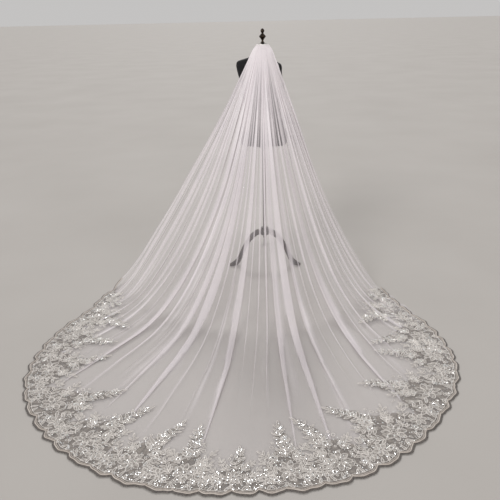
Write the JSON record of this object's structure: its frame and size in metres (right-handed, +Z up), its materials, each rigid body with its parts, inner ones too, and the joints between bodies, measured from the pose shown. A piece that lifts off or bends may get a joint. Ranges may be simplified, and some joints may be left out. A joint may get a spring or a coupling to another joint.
{
  "type": "bridal veil on dress form",
  "caption": "Cathedral bridal veil of gathered tulle with a pointed lace border, hung from the neck of a limbless dress form on a tripod stand, its train laid out on the floor.",
  "frame": {"origin": "middle of the bottom of the bounding box, on the floor", "axes": "+Z up; the train runs towards -Y, the dress form faces +Y, and +X is to the right seen from the train"},
  "size_m": [2.34, 2.6838, 1.683],
  "materials": {
    "tulle": "fine soft nylon tulle, off-white with a faint blush, sheer where single and nearly opaque where gathered",
    "lace": "corded floral lace in off-white thread with clear sequins on net",
    "hem_cord": "scalloped lace edge with a satin cord",
    "ribbon": "narrow satin binding",
    "comb": "clear-white plastic veil comb",
    "jersey": "matt black knitted cover",
    "bronze": "dark bronze enamel, worn glossy on the edges"
  },
  "bodies": {
    "root": {"veil_fall_left_edge": "tulle", "veil_train_left_edge": "tulle", "lace_border_left_edge": "lace", "hem_edge_left_edge": "hem_cord", "veil_fall_left": "tulle", "veil_train_left": "tulle", "lace_border_left": "lace", "hem_edge_left": "hem_cord", "veil_fall_middle": "tulle", "veil_train_middle": "tulle", "lace_border_middle": "lace", "hem_edge_middle": "hem_cord", "veil_fall_right": "tulle", "veil_train_right": "tulle", "lace_border_right": "lace", "hem_edge_right": "hem_cord", "veil_fall_right_edge": "tulle", "veil_train_right_edge": "tulle", "lace_border_right_edge": "lace", "hem_edge_right_edge": "hem_cord", "top_ribbon": "ribbon", "veil_comb": "comb", "form_torso": "jersey", "form_neck_cap": "bronze", "form_finial": "bronze", "form_pole": "bronze", "form_hub": "bronze", "form_leg_1": "bronze", "form_leg_2": "bronze", "form_leg_3": "bronze"}
  },
  "joints": []
}
